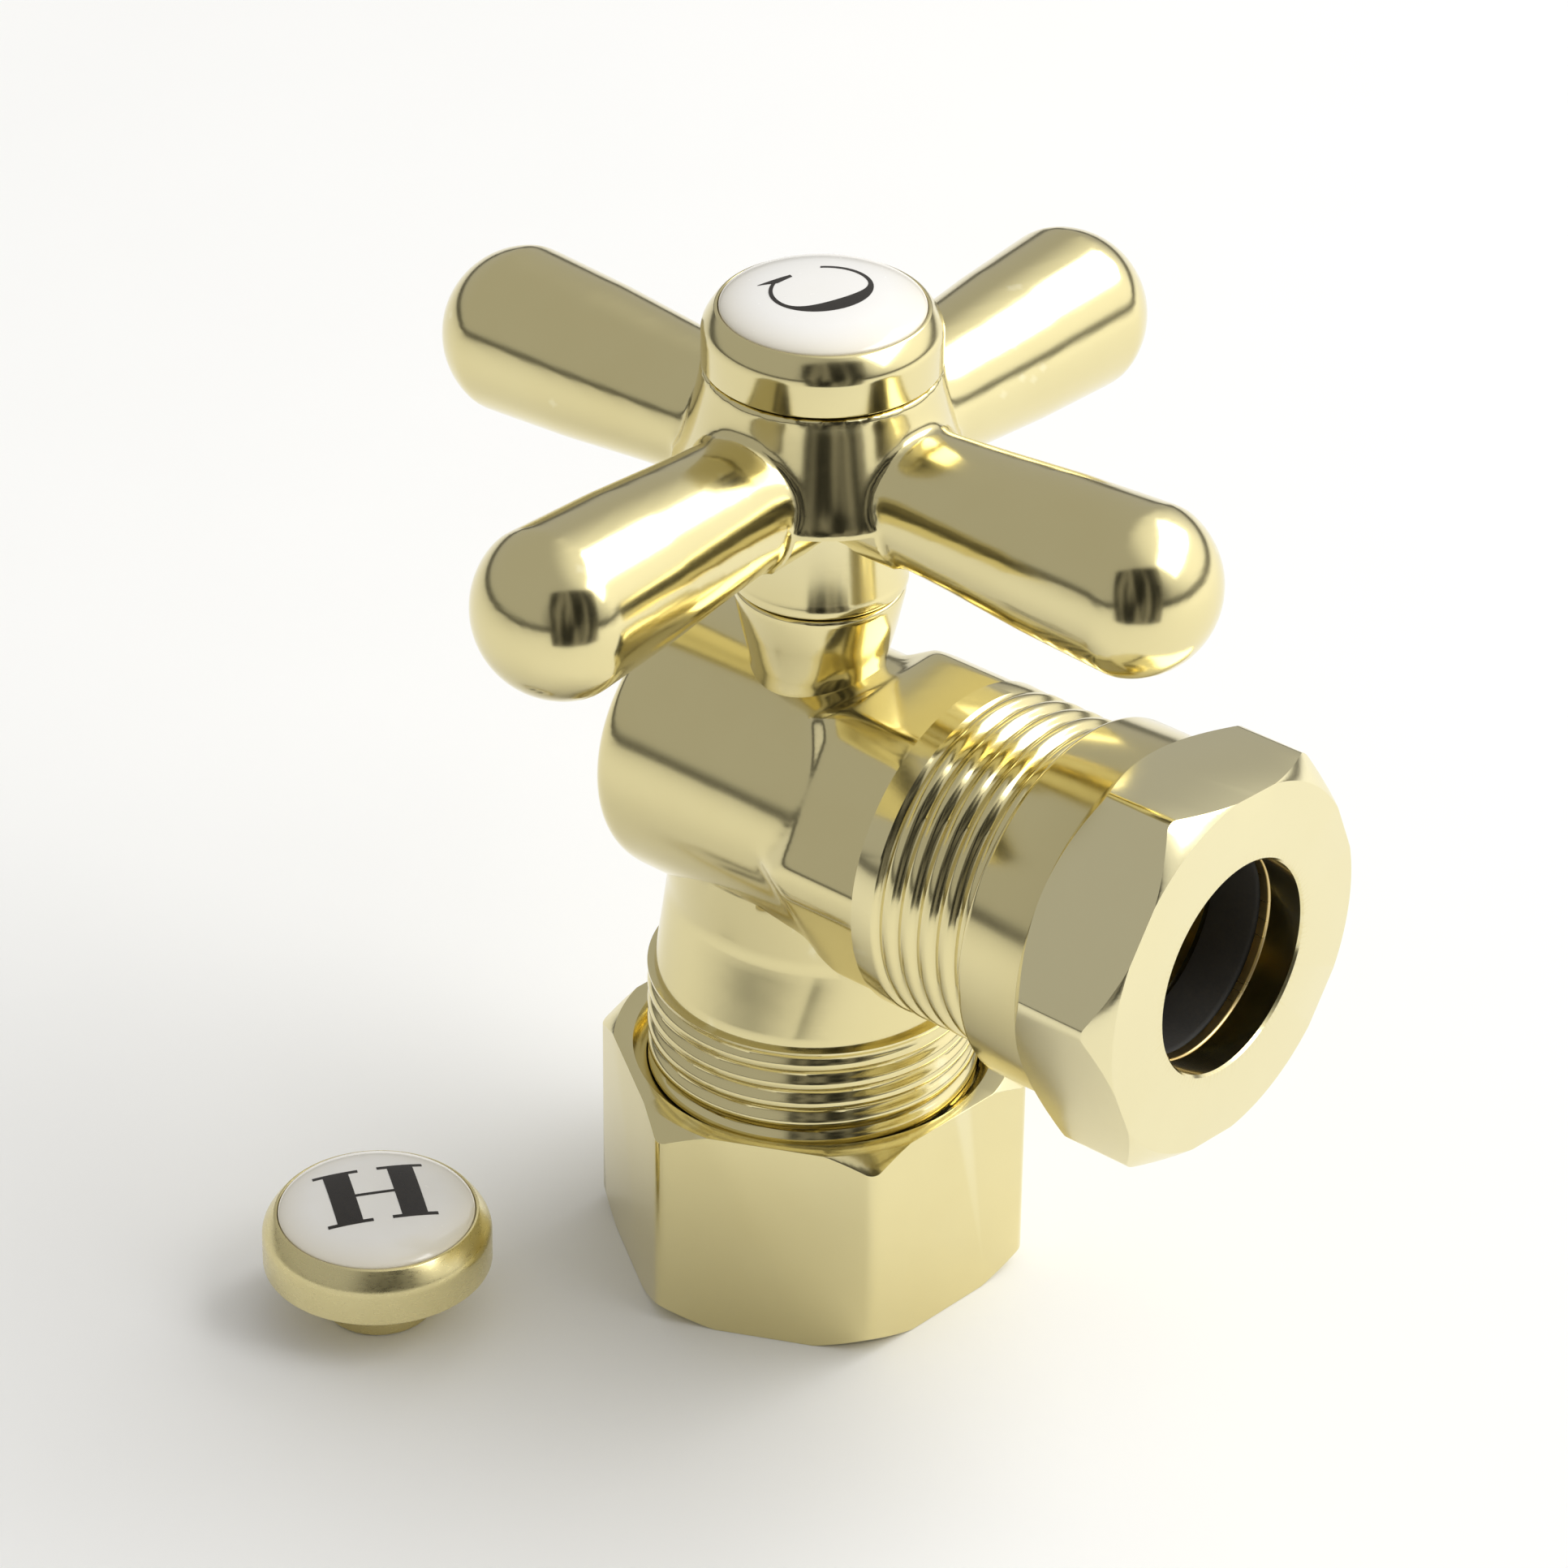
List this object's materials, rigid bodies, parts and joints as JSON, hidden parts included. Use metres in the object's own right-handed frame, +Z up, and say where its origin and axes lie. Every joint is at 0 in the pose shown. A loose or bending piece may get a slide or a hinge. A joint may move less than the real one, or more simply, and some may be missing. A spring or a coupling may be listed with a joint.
{
  "type": "angle stop valve",
  "caption": "Quarter-turn angle stop with a cross handle, compression inlet, slip-joint outlet and a porcelain index button, with a spare button beside it.",
  "frame": {"origin": "on the inlet axis, in the flat underside of the inlet nut that the valve stands on", "axes": "+Z up the inlet and handle axis, +X out of the outlet, +Y completes the right-handed set"},
  "size_m": [0.0598, 0.059, 0.0675],
  "materials": {
    "polished_brass": "polished, lacquered",
    "yellow_brass": "as machined",
    "ball_chrome": "polished plate",
    "porcelain": "glazed",
    "washer_rubber": "moulded",
    "seal_rubber": "moulded",
    "ptfe": "machined"
  },
  "bodies": {
    "valve": {"valve_body": "polished_brass", "front_seat": "ptfe", "rear_seat": "ptfe", "seat_retainer": "yellow_brass", "retainer_o_ring": "seal_rubber"},
    "handle": {"cross_handle": "polished_brass", "handle_skirt": "polished_brass", "handle_screw": "yellow_brass", "stem": "yellow_brass", "ball": "ball_chrome", "stem_o_ring_lower": "seal_rubber", "stem_o_ring_upper": "seal_rubber", "stem_thrust_washer": "ptfe"},
    "ferrule": {"inlet_ferrule": "yellow_brass"},
    "inlet_nut": {"inlet_nut": "polished_brass"},
    "washers": {"outlet_washer": "washer_rubber", "outlet_friction_ring": "yellow_brass"},
    "outlet_nut": {"outlet_nut": "polished_brass"},
    "cold_button": {"cold_button_rim": "polished_brass", "cold_button_porcelain": "porcelain", "button_washer": "seal_rubber"},
    "spare_button": {"spare_button_rim": "polished_brass", "spare_button_porcelain": "porcelain"}
  },
  "joints": [
    {"name": "handle_turn", "type": "hinge", "parent": "valve", "child": "handle", "pos_m": [0, 0, 0.0564], "axis": [0, 0, 1], "range_deg": [-90, 0]},
    {"name": "ferrule_travel", "type": "slide", "parent": "valve", "child": "ferrule", "axis": [0, 0, 1], "range_m": [-0.00847, 0]},
    {"name": "inlet_nut_turn", "type": "hinge", "parent": "ferrule", "child": "inlet_nut", "pos_m": [0, 0, 0.007], "axis": [0, 0, 1], "range_deg": [-2160, 0]},
    {"name": "washer_travel", "type": "slide", "parent": "valve", "child": "washers", "axis": [1, 0, 0], "range_m": [0, 0.00564]},
    {"name": "outlet_nut_turn", "type": "hinge", "parent": "washers", "child": "outlet_nut", "pos_m": [0.0275, 0, 0.0338], "axis": [1, 0, 0], "range_deg": [0, 1440]},
    {"name": "button_pull", "type": "slide", "parent": "handle", "child": "cold_button", "axis": [0, 0, 1], "range_m": [0, 0.01]},
    {"name": "spare_button_lift", "type": "slide", "parent": "valve", "child": "spare_button", "axis": [0, 0, 1], "range_m": [0, 0.03]}
  ],
  "couplings": [
    {"joint": "ferrule_travel", "follows": "inlet_nut_turn", "m_per_rad": 0.00022457},
    {"joint": "washer_travel", "follows": "outlet_nut_turn", "m_per_rad": 0.00022457}
  ]
}
